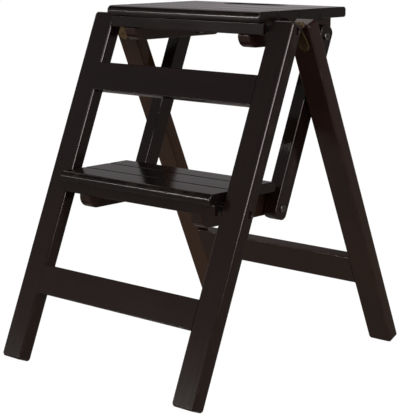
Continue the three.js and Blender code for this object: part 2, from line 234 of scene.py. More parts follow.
FIBRE_STRETCH = (0.045, 1, 1)
PORE_STRETCH = (0.10, 1, 1)
BANDS = {"scale": 60, "detail": 5, "distortion": 0.5}
FIBRES = {"scale": 330, "detail": 6, "roughness": 0.65}
PORES = {"scale": 900, "detail": 3, "roughness": 0.6}
CLOUDS = {"scale": 9, "detail": 2}
# Patches where the eased edges turn lighter: real wear, and a painted highlight
WEAR_AND_HIGHLIGHT_PATCHES = {"scale": 60, "detail": 5, "roughness": 0.62}
BAND_LEVELS = (0.30, 0.72)
CLOUD_LEVELS = (0.30, 0.70)
FIBRE_LEVELS = (0.45, 0.75)
PORE_LEVELS = (0.60, 0.72)
WEAR_AND_HIGHLIGHT_LEVELS = (0.46, 0.70)
EDGE_LEVELS = (0.35, 1.0)
ROUGH_LEVELS = (0.3, 0.8)
RELIEF_LEVELS = (0.25, 0.75)
# Heights over which the colour turns lighter and warmer towards the floor: painted warm light bounced off the
# floor
PAINTED_BOUNCE_HEIGHTS = (0.04, 0.40)
CLOUD_LEAST = 0.4
BAND_SHARE = 0.45
FIBRE_SHARE = 0.35
PAINTED_BOUNCE_SHARE = 0.7
# Share of the lighter edge colour: worn lacquer, and a painted highlight along the edges
WEAR_AND_HIGHLIGHT_SHARE = 0.45
CLOUD_ROUGHNESS = 0.02
FIBRE_ROUGHNESS = 0.03
FIBRE_HEIGHT = 0.5
PORE_DEPTH = 0.6
GRAIN_BUMP = {"strength": 0.16, "distance": 0.10 * MM}
LACQUER_IOR = 1.48


def wood_material(name, along, dark, red, worn_and_highlit, painted_bounce, sheen_tint, rough):
    """Dark stained, satin lacquered wood with its grain along a direction.

    Towards the floor the colour turns lighter and warmer, a painted warm light bounced off the floor, and the
    eased edges turn lighter in places, as wear and a painted highlight.
    """
    material = new_material(name)
    graph = Graph(material)
    place = graph.add("ShaderNodeTexCoord").outputs["Object"]
    board = graph.add("ShaderNodeAttribute", attribute_name="board").outputs["Fac"]
    edge = graph.add("ShaderNodeAttribute", attribute_name="edge").outputs["Fac"]
    apart = graph.add("ShaderNodeCombineXYZ", {"X": board, "Y": board, "Z": board}).outputs[0]
    shifted = graph.add("ShaderNodeVectorMath", {0: place, 1: apart}, operation="ADD").outputs[0]
    grain = graph.stretch(shifted, Rotation=along.rotation_difference(ALONG_X).to_euler())
    fibre_place = graph.stretch(grain, Scale=FIBRE_STRETCH)
    pore_place = graph.stretch(grain, Scale=PORE_STRETCH)

    bands = graph.noise(fibre_place, **BANDS)
    fibres = graph.noise(fibre_place, **FIBRES)
    pores = graph.noise(pore_place, **PORES)
    clouds = graph.noise(grain, **CLOUDS)
    wear_and_highlight_noise = graph.noise(grain, **WEAR_AND_HIGHLIGHT_PATCHES)

    cloudy = graph.ramp(clouds, *CLOUD_LEVELS, CLOUD_LEAST, 1.0)
    ruddy = graph.math("MULTIPLY", graph.ramp(bands, *BAND_LEVELS), cloudy)
    colour = graph.mix(graph.math("MULTIPLY", ruddy, BAND_SHARE), dark, red)
    colour = graph.mix(graph.ramp(fibres, *FIBRE_LEVELS, 0.0, FIBRE_SHARE), colour, red)
    height = graph.add("ShaderNodeSeparateXYZ", {0: place}).outputs["Z"]
    # Towards the floor the colour turns lighter and warmer: painted warm light bounced off the floor
    colour = graph.mix(graph.ramp(height, *PAINTED_BOUNCE_HEIGHTS, PAINTED_BOUNCE_SHARE, 0.0), colour, painted_bounce)
    # Eased edges turn lighter in patches: real wear, and a painted highlight along the edges
    patchy_wear_and_highlight = graph.ramp(wear_and_highlight_noise, *WEAR_AND_HIGHLIGHT_LEVELS, 0.0, WEAR_AND_HIGHLIGHT_SHARE)
    wear_and_painted_highlight = graph.math("MULTIPLY", graph.ramp(edge, *EDGE_LEVELS), patchy_wear_and_highlight)
    colour = graph.mix(wear_and_painted_highlight, colour, worn_and_highlit)

    satin = graph.ramp(clouds, *CLOUD_LEVELS, rough, rough + CLOUD_ROUGHNESS)
    satin = graph.math("ADD", satin, graph.ramp(fibres, *ROUGH_LEVELS, 0.0, FIBRE_ROUGHNESS))
    relief = graph.math("MULTIPLY", graph.ramp(fibres, *RELIEF_LEVELS), FIBRE_HEIGHT)
    relief = graph.math("SUBTRACT", relief, graph.ramp(pores, *PORE_LEVELS, 0.0, PORE_DEPTH))
    surface(graph, {
        "Base Color": colour, "Roughness": satin, "Normal": graph.bump(relief, **GRAIN_BUMP),
        "IOR": LACQUER_IOR, "Specular Tint": sheen_tint,
    })
    return material


FRONT_FINISH = {
    "dark": (0.0046, 0.0027, 0.0022, 1),
    "red": (0.0100, 0.0046, 0.0036, 1),
    # Lighter edge colour: worn lacquer, and a painted highlight
    "worn_and_highlit": (0.030, 0.020, 0.017, 1),
    # Colour near the floor: painted warm light bounced off the floor
    "painted_bounce": (0.0115, 0.0048, 0.0028, 1),
    "sheen_tint": (1.0, 0.95, 0.94, 1),
    "rough": 0.13,
}
# Lighter and warmer than the front finish: painted light, for the warm light the rear frame and the cleats catch
# from the floor
REAR_FINISH = {
    "dark": (0.0140, 0.0064, 0.0050, 1),
    "red": (0.0275, 0.0114, 0.0084, 1),
    # Lighter edge colour: worn lacquer, and a painted highlight
    "worn_and_highlit": (0.045, 0.026, 0.018, 1),
    # Colour near the floor: painted warm light bounced off the floor
    "painted_bounce": (0.0160, 0.0074, 0.0030, 1),
    "sheen_tint": (1.0, 0.90, 0.85, 1),
    "rough": 0.16,
}
# Lighter, warmer copy of the rear finish for the left rear leg: painted light, as that leg catches more light
REAR_FINISH_PAINTED_LIGHTER = dict(
    REAR_FINISH,
    dark=(0.0260, 0.0110, 0.0046, 1),
    red=(0.0480, 0.0190, 0.0070, 1),
    # Colour near the floor: painted warm light bounced off the floor
    painted_bounce=(0.0400, 0.0160, 0.0060, 1),
)
STEP_FINISH = {
    "dark": (0.0040, 0.0029, 0.0026, 1),
    "red": (0.0105, 0.0060, 0.0042, 1),
    # Lighter edge colour: worn lacquer, and a painted highlight
    "worn_and_highlit": (0.036, 0.026, 0.022, 1),
    # Colour near the floor: painted warm light bounced off the floor
    "painted_bounce": (0.0080, 0.0050, 0.0038, 1),
    "sheen_tint": (1.0, 0.96, 0.95, 1),
    "rough": 0.14,
}
WOOD_ACROSS = wood_material("wood_across", ALONG_X, **STEP_FINISH)
WOOD_RAIL = wood_material("wood_rail", ALONG_X, **FRONT_FINISH)
WOOD_FRONT = wood_material("wood_front", FRONT_UP, **FRONT_FINISH)
WOOD_REAR = wood_material("wood_rear", REAR_UP, **REAR_FINISH)
# Lit copy of the rear wood: painted light on the left rear leg
WOOD_REAR_PAINTED_LIGHTER = wood_material("wood_rear_painted_lighter", REAR_UP, **REAR_FINISH_PAINTED_LIGHTER)
WOOD_REAR_RAIL = wood_material("wood_rear_rail", ALONG_X, **REAR_FINISH)
WOOD_BACK = wood_material("wood_back", ALONG_Y, **REAR_FINISH)

# Patterns of metal and plastic

BRUSH_STRETCH = (0.25, 1, 1)
BRUSHING = {"scale": 2600, "detail": 3}
DULLING = {"scale": 420, "detail": 5, "roughness": 0.65}
SPOT_LEVELS = (0.44, 0.66)
DULL_LEVELS = (0.35, 0.68)
DULL_ROUGHNESS = 0.18
BRUSH_BUMP = {"strength": 0.15, "distance": 0.02 * MM}
MOTTLE = {"scale": 700, "detail": 4}
MOTTLE_LEVELS = (0.3, 0.7)
MOTTLE_ROUGHNESS = 0.16
MOTTLE_BUMP = {"strength": 0.2, "distance": 0.05 * MM}


def metal_material(name, colour, tarnish, rough, spots):
    """Plated metal with faint brushing and duller, tarnished spots."""
    material = new_material(name)
    graph = Graph(material)
    place = graph.add("ShaderNodeTexCoord").outputs["Object"]
    brushing = graph.noise(graph.stretch(place, Scale=BRUSH_STRETCH), **BRUSHING)
    dulled = graph.noise(place, **DULLING)
    tint = graph.mix(graph.ramp(dulled, *SPOT_LEVELS, 0.0, spots), colour, tarnish)
    surface(graph, {
        "Base Color": tint, "Metallic": 1.0, "Normal": graph.bump(brushing, **BRUSH_BUMP),
        "Roughness": graph.ramp(dulled, *DULL_LEVELS, rough, rough + DULL_ROUGHNESS),
    })
    return material


def coating_material(name, dark, light, rough):
    """Black paint or moulded nylon, with a fine mottle."""
    material = new_material(name)
    graph = Graph(material)
    place = graph.add("ShaderNodeTexCoord").outputs["Object"]
    mottle = graph.noise(place, **MOTTLE)
    surface(graph, {
        "Base Color": graph.mix(mottle, dark, light),
        "Roughness": graph.ramp(mottle, *MOTTLE_LEVELS, rough, rough + MOTTLE_ROUGHNESS),
        "Normal": graph.bump(mottle, **MOTTLE_BUMP),
    })
    return material


BRASS = metal_material(
    "hinge_brass", colour=(0.38, 0.27, 0.14, 1), tarnish=(0.06, 0.045, 0.03, 1),
    rough=0.26, spots=0.9,
)
STEEL = metal_material(
    "pivot_steel", colour=(0.26, 0.25, 0.24, 1), tarnish=(0.10, 0.09, 0.085, 1),
    rough=0.22, spots=0.6,
)
NYLON = coating_material(
    "spacer_plastic", dark=(0.006, 0.005, 0.005, 1), light=(0.012, 0.011, 0.010, 1), rough=0.40,
)
BLACK = coating_material(
    "pivot_black", dark=(0.018, 0.006, 0.006, 1), light=(0.032, 0.011, 0.010, 1), rough=0.45,
)


# Shaping. STEPS are the facets of a rounded corner, an eased end or a full turn.

CORNER_STEPS = 8
SLOT_STEPS = 16
TURNED_STEPS = 4
SCREW_STEPS = 3
EASE_STEPS = 5
TURN_STEPS = 48
CHAMFERED = 0.6
SHARP_ANGLE = math.radians(34)
ON_AXIS = 1e-7
NEARLY_UPRIGHT = 0.9
OVERRUN = 2.0 * MM
MOUTH_EASE = 0.3 * MM


def rectangle(left, right, bottom, top, radius=0.0):
    """Corners (u, v, radius) of a rectangle, counter-clockwise."""
    places = ((left, bottom), (right, bottom), (right, top), (left, top))
    return [(u, v, radius) for u, v in places]


def hexagon(u, v, radius):
    """Corners (u, v, radius) of a regular hexagon about (u, v), unrounded."""
    angles = [math.pi / 3 * turn for turn in range(6)]
    return [(u + radius * math.cos(angle), v + radius * math.sin(angle), 0) for angle in angles]


def rounded(corners, steps=CORNER_STEPS):
    """Closed outline through corners (u, v, radius), as (point, mark of wear and painted highlight) pairs.

    The mark, for wear and a painted highlight, is 1 halfway round a corner.
    """
    outline = []
    for index, (u, v, radius) in enumerate(corners):
        here = Vector((u, v))
        if radius == 0:
            outline.append((here, 0.0))
            continue
        before = (Vector(corners[index - 1][:2]) - here).normalized()
        after = (Vector(corners[(index + 1) % len(corners)][:2]) - here).normalized()
        half = before.angle(after) / 2
        centre = here + (before + after).normalized() * (radius / math.sin(half))
        start = here + before * (radius / math.tan(half)) - centre
        end = here + after * (radius / math.tan(half)) - centre
        first = math.atan2(start.y, start.x)
        sweep = (math.atan2(end.y, end.x) - first + math.pi) % (2 * math.pi) - math.pi
        for step in range(steps + 1):
            share = step / steps
            angle = first + sweep * share
            point = centre + Vector((math.cos(angle), math.sin(angle))) * radius
            outline.append((point, math.sin(math.pi * share)))
    return outline


def inwards(outline):
    """How each point of a counter-clockwise outline moves when the outline shrinks by one."""
    ways = []
    for index, (here, _) in enumerate(outline):
        before = (here - outline[index - 1][0]).normalized()
        after = (outline[(index + 1) % len(outline)][0] - here).normalized()
        first = Vector((-before.y, before.x))
        second = Vector((-after.y, after.x))
        ways.append((first + second) / (1 + first.dot(second)))
    return ways


def square_to(way):
    """Two directions square to the given one and to each other."""
    first = (ALONG_Z if abs(way.z) < NEARLY_UPRIGHT else ALONG_X).cross(way).normalized()
    return first, way.cross(first)


def to_object(name, bm):
    bmesh.ops.recalc_face_normals(bm, faces=bm.faces)
    mesh = bpy.data.meshes.new(name)
    bm.to_mesh(mesh)
    bm.free()
    piece = bpy.data.objects.new(name, mesh)
    bpy.context.scene.collection.objects.link(piece)
    return piece


def end_rings(end, ease, towards):
    """Rings of a prism's end, from its face on: inset of the outline, place along the axis, mark of wear and
    painted highlight.

    The end is eased by a curve between a quarter circle and a chamfer, nearer to a chamfer the
    higher CHAMFERED is. A negative ease flares it outwards, and the solid runs on past it, for
    cutters.
    """
    steps = EASE_STEPS if ease else 0
    rings = []
    for step in range(steps + 1):
        share = step / max(steps, 1)
        angle = share * math.pi / 2
        inset = ease * (1 - math.sin(angle) * (1 - CHAMFERED) - share * CHAMFERED)
        reach = abs(ease) * ((1 - math.cos(angle)) * (1 - CHAMFERED) + share * CHAMFERED)
        rings.append((inset, end + towards * reach, math.sin(2 * angle)))
    if ease < 0:
        rings.insert(0, (ease, end - towards * OVERRUN, 0.0))
    return rings


def prism(name, axes, outline, low, high, ease=0.0):
    """Solid with an outline in the first two axes and eased ends, at low and high on the third.

    Each prism gets its own value of the attribute board, which sets its grain apart.
    """
    bm = bmesh.new()
    wear_and_highlight_layer = bm.verts.layers.float.new("edge")
    board_layer = bm.verts.layers.float.new("board")
    board = chance.random()
    ways = inwards(outline)
    levels = end_rings(low, ease, 1) + end_rings(high, ease, -1)[::-1]
    loops = []
    for number, (inset, along, ring_wear_and_highlight) in enumerate(levels):
        at_face = number in (0, len(levels) - 1)
        loop = []
        for (point, wear_and_highlight), way in zip(outline, ways):
            moved = point + way * inset
            vertex = bm.verts.new(axes[0] * moved.x + axes[1] * moved.y + axes[2] * along)
            # The edge mark drives the lighter edge colour: wear, and a painted highlight
            vertex[wear_and_highlight_layer] = 0.0 if at_face else max(wear_and_highlight, ring_wear_and_highlight)
            vertex[board_layer] = board
            loop.append(vertex)
        loops.append(loop)
    for lower, upper in zip(loops, loops[1:]):
        for index in range(len(outline)):
            after = (index + 1) % len(outline)
            bm.faces.new((lower[index], lower[after], upper[after], upper[index]))
    bm.faces.new(loops[0][::-1])
    bm.faces.new(loops[-1])
    return to_object(name, bm)


def turned(name, origin, out, outline):
    """Solid turned about an axis through origin; its outline gives radius and distance along it."""
    bm = bmesh.new()
    bm.verts.layers.float.new("edge")
    bm.verts.layers.float.new("board")
    first, second = square_to(out)
    angles = [2 * math.pi * turn / TURN_STEPS for turn in range(TURN_STEPS)]
    ways = [first * math.cos(angle) + second * math.sin(angle) for angle in angles]
    loops = []
    for (radius, along), _ in outline:
        if radius < ON_AXIS:
            loops.append([bm.verts.new(origin + out * along)])
        else:
            loops.append([bm.verts.new(origin + out * along + way * radius) for way in ways])
    for index, upper in enumerate(loops):
        lower = loops[index - 1]
        if len(lower) == 1 and len(upper) == 1:
            continue
        for turn in range(TURN_STEPS):
            after = turn + 1
            corners = [lower[turn % len(lower)], lower[after % len(lower)],
                       upper[after % len(upper)], upper[turn % len(upper)]]
            bm.faces.new(list(dict.fromkeys(corners)))
    return to_object(name, bm)


def applied(piece):
    """Replaces a piece's mesh with the result of its modifiers."""
    graph = bpy.context.evaluated_depsgraph_get()
    mesh = bpy.data.meshes.new_from_object(piece.evaluated_get(graph))
    piece.modifiers.clear()
    piece.data = mesh
    return piece


def combined(piece, others, operation):
    """Cuts the other solids out of a piece, or joins them to it, and removes them."""
    for other in others:
        modifier = piece.modifiers.new("combine", "BOOLEAN")
        modifier.operation = operation
        modifier.solver = "EXACT"
        modifier.object = other
        applied(piece)
        bpy.data.objects.remove(other)
    return piece


def bore(origin, out, radius, low, high):
    """Cutter of a hole along an axis through origin, whose mouth, at high, is slightly eased."""
    return turned("bore", origin, out, rounded([
        (0, low, 0), (radius, low, 0), (radius, high - MOUTH_EASE, 0),
        (radius + MOUTH_EASE, high, 0), (radius + MOUTH_EASE, high + OVERRUN, 0),
        (0, high + OVERRUN, 0),
    ]))


def dress(piece, material, body, slot, *nodes):
    """Finishes a piece: smooth shading with crisp edges, its material, its place in the frame."""
    piece.data.materials.clear()
    piece.data.materials.append(material)
    piece.data.shade_smooth()
    piece.data.set_sharp_from_angle(angle=SHARP_ANGLE)
    weighted = piece.modifiers.new("weighted", "WEIGHTED_NORMAL")
    weighted.keep_sharp = True
    applied(piece)
    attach(piece, body)
    if nodes:
        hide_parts(*nodes)
    return piece


def dress_as(piece, material, node):
    """Finishes a piece that stands for one CAD node."""
    return dress(piece, material, body_of[node], slot_of[node], node)


# Posts and rails

POST_CORNER = 5.0 * MM
POST_EASE = 3.0 * MM
RAIL_EASE = 1.2 * MM
JOINT_GROOVE = 1.2 * MM
BORE_RADIUS = 3.3 * MM
RECESS_PLAY = 0.3 * MM
HEAD_SEAT = 2.7 * MM


def plank(node, axes, corner, ease, ends=None):
    """Board of a node's size with a rectangular outline, as long as the node or as given."""
    corners = rectangle(*span(node, axes[0]), *span(node, axes[1]), corner)
    return prism(node + "_board", axes, rounded(corners), *(ends or span(node, axes[2])), ease)


def bolt_place(node):
    """Centre line of a bolt, as a point at X zero, and its radius and reach along X."""
    low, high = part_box(node)
    centre = Vector((0, (low[1] + high[1]) / 2, (low[2] + high[2]) / 2))
    reach = sorted((abs(low[0]), abs(high[0])))
    return centre, (high[2] - low[2]) / 2, reach


stile_inside, stile_outside = outwards("front_stile_right")

for side_name, side in SIDES:
    out = ALONG_X * side
    name = f"front_stile_{side_name}"
    stile = plank(name, FRONT_POST, POST_CORNER, POST_EASE)
    cutters = []
    for step in STEPS:
        centre, radius, (_, top) = bolt_place(f"{step}_pivot_bolt_{side_name}")
        cutters.append(bore(centre, out, BORE_RADIUS, stile_inside - OVERRUN, stile_outside))
        cutters.append(bore(centre, out, radius + RECESS_PLAY, top - HEAD_SEAT, stile_outside))
    centre, radius, (_, top) = bolt_place(f"tread_stop_pin_{side_name}")
    cutters.append(bore(centre, out, radius, stile_inside - OVERRUN, top))
    dress_as(combined(stile, cutters, "DIFFERENCE"), WOOD_FRONT, name)
    name = f"rear_leg_{side_name}"
    # The left rear leg takes the lighter copy of the rear finish: painted light on it
    rear_wood = WOOD_REAR_PAINTED_LIGHTER if side < 0 else WOOD_REAR
    dress_as(plank(name, REAR_POST, POST_CORNER, POST_EASE), rear_wood, name)

# A rail runs into the posts' rounded edges, and leaves a fine line there
rail_end = stile_inside + POST_EASE - JOINT_GROOVE
for name, axes, material in (
    ("front_upper_rail", FRONT_RAIL, WOOD_RAIL),
    ("front_lower_rail", FRONT_RAIL, WOOD_RAIL),
    ("rear_rail", REAR_RAIL, WOOD_REAR_RAIL),
):
    dress_as(plank(name, axes, RAIL_EASE, 0.0, (-rail_end, rail_end)), material, name)


# Seat and tread

NOSE_TOP = 7.5 * MM
NOSE_UNDER = 3.5 * MM
REAR_TOP = 4.0 * MM
SLAT_UNDER = 1.6 * MM
SLAT_END = 1.2 * MM
GROOVE = 1.6 * MM
GROOVE_SOFT = 0.9 * MM
APRON_EASE = 1.4 * MM
CLEAT_FRONT = 14.8 * MM
CLEAT_REAR = 6.0 * MM
CLEAT_EASE = 1.2 * MM
SLOT_LENGTH = 100.0 * MM
SLOT_WIDTH = 25.0 * MM
SLOT_END = 12.4 * MM
SLOT_FLARE = 3.0 * MM
FIT = 0.3 * MM
SLATS = {"seat": 4, "tread": 3}

# Screws in the undersides of the cleats: their places in millimetres behind the pivot
SCREW_PLACES = {"seat": (10.0, 36.6, 80.9, 134.0), "tread": (10.5, 42.6, 83.6)}
SCREW_BORE = 3.9 * MM
SCREW_DEPTH = 12.0 * MM
SCREW_HEAD = 3.5 * MM

# Countersunk head and cross drive, as shares of the head's radius; half an arm's thickness is a
# share of half its length
SCREW_SHANK = 0.5
SCREW_CONE = 0.62
SCREW_RIM = 0.12
SCREW_ROUND = 0.06
CROSS_WIDTH = 0.62
CROSS_DEPTH = 0.35
CROSS_THIN = 0.22


def slat(node, first, last):
    """Slat with half a groove at each side, but a round nose if first and a soft edge if last."""
    front, back = span(node, ALONG_Y)
    bottom, top = span(node, ALONG_Z)
    corners = [
        (front, bottom, NOSE_UNDER if first else SLAT_UNDER),
        (back, bottom, NOSE_UNDER if last else SLAT_UNDER),
    ]
    corners += [(back, top, REAR_TOP)] if last else [
        (back, top - GROOVE, GROOVE_SOFT), (back - GROOVE, top, GROOVE_SOFT),
    ]
    corners += [(front, top, NOSE_TOP)] if first else [
        (front + GROOVE, top, GROOVE_SOFT), (front, top - GROOVE, GROOVE_SOFT),
    ]
    return prism(node + "_board", LEVEL, rounded(corners), *span(node, ALONG_X), SLAT_END)


def hand_slot(node):
    """Cutter of the hand slot, through the middle of the slat, flared at both faces."""
    middle = sum(span(node, ALONG_Y)) / 2
    across = (middle - SLOT_WIDTH / 2, middle + SLOT_WIDTH / 2)
    outline = rounded(rectangle(-SLOT_LENGTH / 2, SLOT_LENGTH / 2, *across, SLOT_END), SLOT_STEPS)
    return prism("slot", TOP_VIEW, outline, *span(node, ALONG_Z), -SLOT_FLARE)


def cleat(node, apron_node):
    """Cleat with a round front, notched for the apron."""
    front, back = span(node, ALONG_Y)
    bottom, top = span(node, ALONG_Z)
    notch_back = span(apron_node, ALONG_Y)[1] + FIT
    notch_floor = span(apron_node, ALONG_Z)[0] - FIT
    corners = [
        (front, bottom, CLEAT_FRONT), (back, bottom, CLEAT_REAR), (back, top, CLEAT_EASE),
        (notch_back, top, 0), (notch_back, notch_floor, 0), (front, notch_floor, CLEAT_EASE),
    ]
    return prism(node + "_board", LEVEL, rounded(corners), *span(node, ALONG_X), CLEAT_EASE)


def drive(origin, out, top, width, depth, hexagonal=False):
    """Cutters of a screw's drive, a cross or a hexagonal socket, sunk from top along the axis."""
    first, second = square_to(out)
    angle = chance.random() * math.pi
    across = first * math.cos(angle) + second * math.sin(angle)
    axes = (across, out.cross(across), out)
    u, v, w = (origin.dot(axis) for axis in axes)
    if hexagonal:
        outlines = [hexagon(u, v, width)]
    else:
        thin = width * CROSS_THIN
        outlines = [
            rectangle(u - half_u, u + half_u, v - half_v, v + half_v)
            for half_u, half_v in ((width, thin), (thin, width))
        ]
    ends = (w + top - depth, w + top + OVERRUN)
    return [prism("drive", axes, rounded(corners), *ends) for corners in outlines]


def countersunk(name, origin, out, radius, depth):
    """Countersunk screw head, flush with origin, with a cross drive."""
    shank, cone = radius * SCREW_SHANK, radius * SCREW_CONE
    rim, soft = radius * SCREW_RIM, radius * SCREW_ROUND
    head = turned(name, origin, out, rounded([
        (0, -depth, 0), (shank, -depth, 0), (shank, -cone, 0),
        (radius, -rim, soft), (radius, 0, soft), (0, soft, 0),
    ], SCREW_STEPS))
    cutters = drive(origin, out, 0, radius * CROSS_WIDTH, radius * CROSS_DEPTH)
    return combined(head, cutters, "DIFFERENCE")


def sink_screws(board, node, side_name, step):
    """Sinks the screws that hold the slats into the underside of a cleat."""
    middle = sum(span(node, ALONG_X)) / 2
    bottom = span(node, ALONG_Z)[0]
    down = -ALONG_Z
    for number, behind in enumerate(SCREW_PLACES[step], 1):
        mouth = Vector((middle, pivot(f"{step}_fold").y + behind * MM, bottom))
        combined(board, [bore(mouth, down, SCREW_BORE, -SCREW_DEPTH, 0)], "DIFFERENCE")
        seat_at = mouth - down * (SCREW_DEPTH - 2 * SCREW_HEAD * SCREW_CONE)
        name = f"{step}_screw_{side_name}_{number}"
        screw = countersunk(name, seat_at, down, SCREW_HEAD, SCREW_HEAD)
        dress(screw, STEEL, step, "pivot_steel")


for step, count in SLATS.items():
    for number in range(1, count + 1):
        name = f"{step}_slat_{number}"
        board = slat(name, number == 1, number == count)
        if step == "seat" and number == count:
            combined(board, [hand_slot(name)], "DIFFERENCE")
        dress_as(board, WOOD_ACROSS, name)
    apron_name = f"{step}_apron"
    dress_as(plank(apron_name, LEVEL, APRON_EASE, SLAT_END), WOOD_RAIL, apron_name)
    for side_name, side in SIDES:
        name = f"{step}_cleat_{side_name}"
        board = cleat(name, apron_name)
        near, far = outwards(name)
        cutters = []
        for bolt_name in (f"{step}_pivot_bolt_{side_name}", f"{step}_link_bolt_{side_name}"):
            centre = bolt_place(bolt_name)[0]
            cutters.append(bore(centre, ALONG_X * side, BORE_RADIUS, near - OVERRUN, far))
        combined(board, cutters, "DIFFERENCE")
        sink_screws(board, name, side_name, step)
        dress_as(board, WOOD_BACK, name)


# Link bars

LINK_EASE = 0.8 * MM
LINK_END = 9.0 * MM

for side_name, side in SIDES:
    name = f"link_{side_name}"
    board = plank(name, LINK, LINK_END, LINK_EASE)
    near, far = outwards(name)
    cutters = []
    for step in STEPS:
        centre = bolt_place(f"{step}_link_bolt_{side_name}")[0]
        cutters.append(bore(centre, ALONG_X * side, BORE_RADIUS, near - OVERRUN, far))
    dress_as(combined(board, cutters, "DIFFERENCE"), WOOD_FRONT, name)


# Bolts, nuts, spacers, washers and stop pins

SHANK_RADIUS = 3.0 * MM
THREAD_DEPTH = 0.45 * MM
THREAD_PITCH = 1.0 * MM
THREAD_TURNS = 7
HEAD_HEIGHT = 2.4 * MM
HEAD_CROWN = 1.7 * MM
HEAD_RIM = 0.3 * MM
NUT_RADIUS = 6.0 * MM
NUT_CHAMFER = 0.8 * MM
RING_EASE = 0.5 * MM

# Start, crest and root of a thread's turn and start of the plain shank, as shares of the pitch
THREAD_START = 0.25
THREAD_CREST = 0.25
THREAD_ROOT = 0.75
THREAD_RUNOUT = 0.5

# Drives of the bolts: width as a share of the head's radius, depth as a share of its height
SOCKET_WIDTH = 0.5
BOLT_CROSS_WIDTH = 0.6
BOLT_DRIVE_DEPTH = 0.55


def thread(tip):
    """Corners of a bolt's threaded end, from the middle of its tip inwards."""
    root = SHANK_RADIUS - THREAD_DEPTH
    corners = [(0, tip, 0), (root, tip, 0)]
    for turn in range(THREAD_TURNS):
        start = tip + THREAD_PITCH * (turn + THREAD_START)
        corners += [
            (SHANK_RADIUS, start + THREAD_PITCH * THREAD_CREST, 0),
            (root, start + THREAD_PITCH * THREAD_ROOT, 0),
        ]
    return corners + [(SHANK_RADIUS, tip + THREAD_PITCH * (THREAD_TURNS + THREAD_RUNOUT), 0)]


def bolt(node, side, material, hexagonal):
    """Bolt with a thread and a low crowned head, with a hexagonal socket or a cross."""
    centre, radius, (tip, top) = bolt_place(node)
    out = ALONG_X * side
    seat_at = top - HEAD_HEIGHT
    corners = thread(tip) + [
        (SHANK_RADIUS, seat_at, 0), (radius, seat_at, HEAD_RIM),
        (radius, top, HEAD_CROWN), (0, top, 0),
    ]
    piece = turned(node + "_piece", centre, out, rounded(corners))
    width = radius * (SOCKET_WIDTH if hexagonal else BOLT_CROSS_WIDTH)
    cutters = drive(centre, out, top, width, HEAD_HEIGHT * BOLT_DRIVE_DEPTH, hexagonal)
    dress_as(combined(piece, cutters, "DIFFERENCE"), material, node)
    return centre


def nut(node, side, centre):
    """Hexagonal nut with chamfered corners and a plain bore."""
    out = ALONG_X * side
    near, far = outwards(node)
    outline = rounded(hexagon(centre.y, centre.z, NUT_RADIUS))
    block = prism(node + "_piece", LEVEL, outline, *span(node, ALONG_X))
    disc = turned("disc", centre, out, rounded([
        (0, near, 0), (NUT_RADIUS - NUT_CHAMFER, near, 0), (NUT_RADIUS, near + NUT_CHAMFER / 2, 0),
        (NUT_RADIUS, far - NUT_CHAMFER / 2, 0), (NUT_RADIUS - NUT_CHAMFER, far, 0), (0, far, 0),
    ]))
    combined(block, [disc], "INTERSECT")
    hole = bore(centre, out, SHANK_RADIUS + FIT / 2, near - OVERRUN, far)
    dress_as(combined(block, [hole], "DIFFERENCE"), STEEL, node)


def ring(node, side):
    """Nylon spacer or washer round a bolt."""
    centre, radius, reach = bolt_place(node)
    outline = rounded(rectangle(BORE_RADIUS, radius, *reach, RING_EASE), TURNED_STEPS)
    dress_as(turned(node + "_piece", centre, ALONG_X * side, outline), NYLON, node)


def stop_pin(node, side):
    centre, radius, (near, far) = bolt_place(node)
    corners = [(0, near, 0), (radius, near, RING_EASE), (radius, far, RING_EASE), (0, far, 0)]
    outline = rounded(corners, TURNED_STEPS)
    dress_as(turned(node + "_piece", centre, ALONG_X * side, outline), BLACK, node)


for side_name, side in SIDES:
    for step in STEPS:
        centre = bolt(f"{step}_pivot_bolt_{side_name}", side, BLACK, True)
        nut(f"{step}_pivot_nut_{side_name}", side, centre)
        ring(f"{step}_pivot_spacer_{side_name}", side)
        centre = bolt(f"{step}_link_bolt_{side_name}", side, STEEL, False)
        nut(f"{step}_link_nut_{side_name}", side, centre)
        ring(f"{step}_link_washer_{side_name}", side)
    stop_pin(f"tread_stop_pin_{side_name}", side)


# Brass hinges. A leaf lies on a post, and its knuckles take turns round the pin.

PLATE = 1.6 * MM
PLATE_EASE = 0.65 * MM
BULB_RADIUS = 8.5 * MM
BULB_DROP = 31.0 * MM
BULB_STEPS = 32
NECK_HALF = 3.5 * MM
NECK_DROP = 7.0 * MM
BARREL_RADIUS = 4.0 * MM
KNUCKLE_GAP = 0.4 * MM
KNUCKLE_EASE = 0.5 * MM
PIN_RADIUS = 1.8 * MM
CENTRE_HALF = 4.5 * MM
SINK_RADIUS = 3.9 * MM
SINK_HOLE = 2.3 * MM
axis_place = pivot("rear_frame_fold")


def leaf_outline(middle, half, top):
    """Plate of a leaf: as wide as its knuckles at the barrel, then a neck, then a round end."""
    bulb = Vector((0, -BULB_DROP))
    neck = Vector((NECK_HALF, -NECK_DROP))
    towards = math.atan2(neck.y - bulb.y, neck.x - bulb.x)
    tangent = towards - math.acos(BULB_RADIUS / (neck - bulb).length)
    first, last = math.pi - tangent, 2 * math.pi + tangent
    points = [
        Vector((half, 0)), Vector((-half, 0)),
        Vector((-half, -BARREL_RADIUS)), Vector((-NECK_HALF, -NECK_DROP)),
    ]
    for step in range(BULB_STEPS + 1):
        angle = first + (last - first) * step / BULB_STEPS
        points.append(bulb + Vector((math.cos(angle), math.sin(angle))) * BULB_RADIUS)
    points += [neck, Vector((half, -BARREL_RADIUS))]
    return [(Vector((middle + point.x, top + point.y)), 0.0) for point in points]


